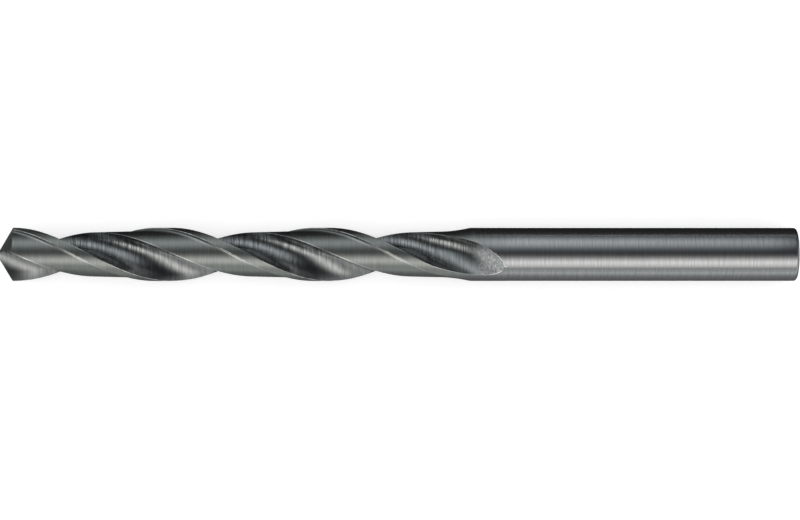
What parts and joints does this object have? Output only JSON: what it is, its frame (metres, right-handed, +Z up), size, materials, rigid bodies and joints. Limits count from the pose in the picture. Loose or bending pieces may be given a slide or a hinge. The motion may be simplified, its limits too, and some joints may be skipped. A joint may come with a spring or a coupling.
{
  "type": "twist drill bit",
  "caption": "Straight-shank twist drill bit with helical flutes, narrow margins, ground relief and a conical point.",
  "frame": {"origin": "centre of the shank's flat end face", "axes": "+X points out of the shank's end along the drill's axis, so the cutting point is at -X; +Z is up as the drill lies flat; the two lips of the point lie along Y"},
  "size_m": [0.109, 0.0072, 0.0072],
  "materials": {
    "steel": "ground, dark oxide"
  },
  "bodies": {
    "root": {"drill_bit": "steel"}
  },
  "joints": []
}
